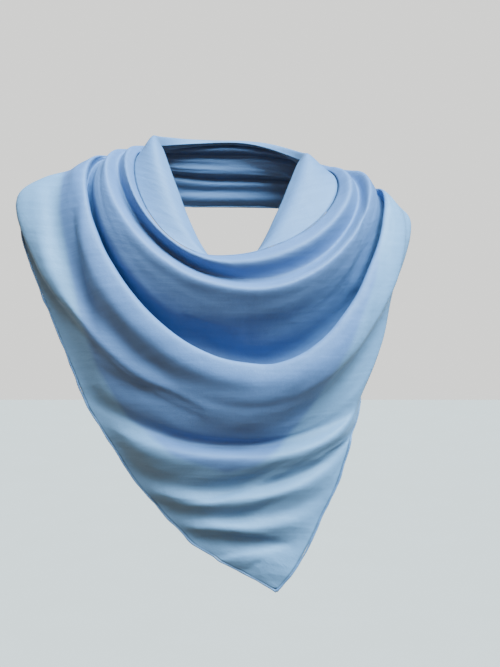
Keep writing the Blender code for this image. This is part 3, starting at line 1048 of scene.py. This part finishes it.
class SCARF_OT_set_stage(bpy.types.Operator):
    """Lay a pale floor and set the lights and the camera"""

    bl_idname = "scarf.set_stage"
    bl_label = "Set the stage"

    def execute(self, context):
        stage = context.scene.scarf_stage
        self.lay_floor(stage)
        self.light(context.scene, stage)
        self.aim_camera(context.scene, stage)
        return {"FINISHED"}

    def lay_floor(self, stage, half=6.0):
        mesh = bpy.data.meshes.new("floor")
        corners = [(-half, -half), (half, -half), (half, half), (-half, half)]
        mesh.from_pydata([(x, y, stage.floor) for x, y in corners], [], [(0, 1, 2, 3)])
        material, shader, wire = new_material("pale_floor")
        place = wire.node("ShaderNodeTexCoord", output=3)
        grain = wire.node("ShaderNodeTexNoise", Vector=place, Scale=6.0, Detail=4.0)
        put(wire.tree, shader.inputs["Base Color"], grain.blend(*FLOOR_TONES))
        put(wire.tree, shader.inputs["Roughness"], 0.9)
        floor = new_piece("floor", mesh, [material])
        floor.visible_diffuse = False
        floor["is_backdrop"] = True

    def light(self, scene, stage, level=0.75, slope=0.3):
        """A dome, as strong as level from the side and stronger by slope above, a window and two fills."""
        world = bpy.data.worlds.new("studio")
        scene.world = world
        world.use_nodes = True
        tree = world.node_tree
        background = tree.nodes["Background"]
        wire = Wire(tree, None)
        seen = wire.node("ShaderNodeLightPath")
        way = wire.node("ShaderNodeTexCoord")
        height = wire.node("ShaderNodeSeparateXYZ", output=2, Vector=way)
        dome = (height * slope + level).clamp() * stage.dome
        put(tree, background.inputs["Color"], seen.blend(DOME_COLOUR, BACKDROP_COLOUR))
        put(tree, background.inputs["Strength"], dome + seen * (stage.backdrop - dome))
        sun = self.hang(scene, "window", "SUN", stage.window, WINDOW_COLOUR, WINDOW_SPOT)
        sun.angle = math.radians(50)
        for name, spot in FILL_SPOTS:
            lamp = self.hang(scene, name, "AREA", stage.fill, FILL_COLOUR, spot)
            lamp.shape = "DISK"
            lamp.size = 1.2

    def hang(self, scene, name, kind, energy, colour, spot):
        """Hangs a light at its spot, aimed at the chest of the scarf."""
        lamp = bpy.data.lights.new(name, kind)
        lamp.energy = energy
        lamp.color = colour
        holder = bpy.data.objects.new(name, lamp)
        holder.location = spot
        holder.rotation_euler = (CHEST - Vector(spot)).to_track_quat("-Z", "Y").to_euler()
        scene.collection.objects.link(holder)
        return lamp

    def aim_camera(self, scene, stage):
        camera = bpy.data.cameras.new("camera")
        camera.lens = camera.sensor_width * stage.distance / stage.view_height
        holder = bpy.data.objects.new("camera", camera)
        back = Vector((0.0, -math.cos(stage.elevation), math.sin(stage.elevation)))
        holder.location = Vector(stage.target) + back * stage.distance
        holder.rotation_euler = (math.pi / 2 - stage.elevation, 0.0, 0.0)
        scene.collection.objects.link(holder)
        scene.camera = holder


class SCARF_PT_panel(bpy.types.Panel):
    """Sizes, colours and steps of the silk scarf"""

    bl_idname = "SCARF_PT_panel"
    bl_label = "Silk scarf"
    bl_space_type = "VIEW_3D"
    bl_region_type = "UI"
    bl_category = "Scarf"

    def draw(self, context):
        for operator in OPERATORS:
            self.layout.operator(operator.bl_idname)
        for name in GROUPS:
            settings = getattr(context.scene, name)
            box = self.layout.box()
            for key in settings.bl_rna.properties.keys():
                if key not in ("rna_type", "name"):
                    box.prop(settings, key)


OPERATORS = (SCARF_OT_drape_cloth, SCARF_OT_wrap_neck, SCARF_OT_roll_hems, SCARF_OT_sew_hems,
             SCARF_OT_set_stage)
GROUPS = {
    "scarf_drape": ScarfDrapeSizes,
    "scarf_silk": ScarfSilk,
    "scarf_hem": ScarfHem,
    "scarf_stage": ScarfStage,
}


KINDS = (*GROUPS.values(), *OPERATORS, SCARF_PT_panel)


def register():
    for kind in KINDS:
        bpy.utils.register_class(kind)
    for name, group in GROUPS.items():
        setattr(bpy.types.Scene, name, PointerProperty(type=group))


def unregister():
    for name in GROUPS:
        delattr(bpy.types.Scene, name)
    for kind in reversed(KINDS):
        bpy.utils.unregister_class(kind)


def write_sizes():
    """The solids' box and the box of what is shown, as plain lists."""
    boxes = {"cad": CAD_BOX, "visual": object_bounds()}
    plain = {name: [[float(x) for x in corner] for corner in box] for name, box in boxes.items()}


def main():
    register()
    for operator in OPERATORS:
        group, name = operator.bl_idname.split(".")
        getattr(getattr(bpy.ops, group), name)()
    write_sizes()


if __name__ == "__main__":
    main()
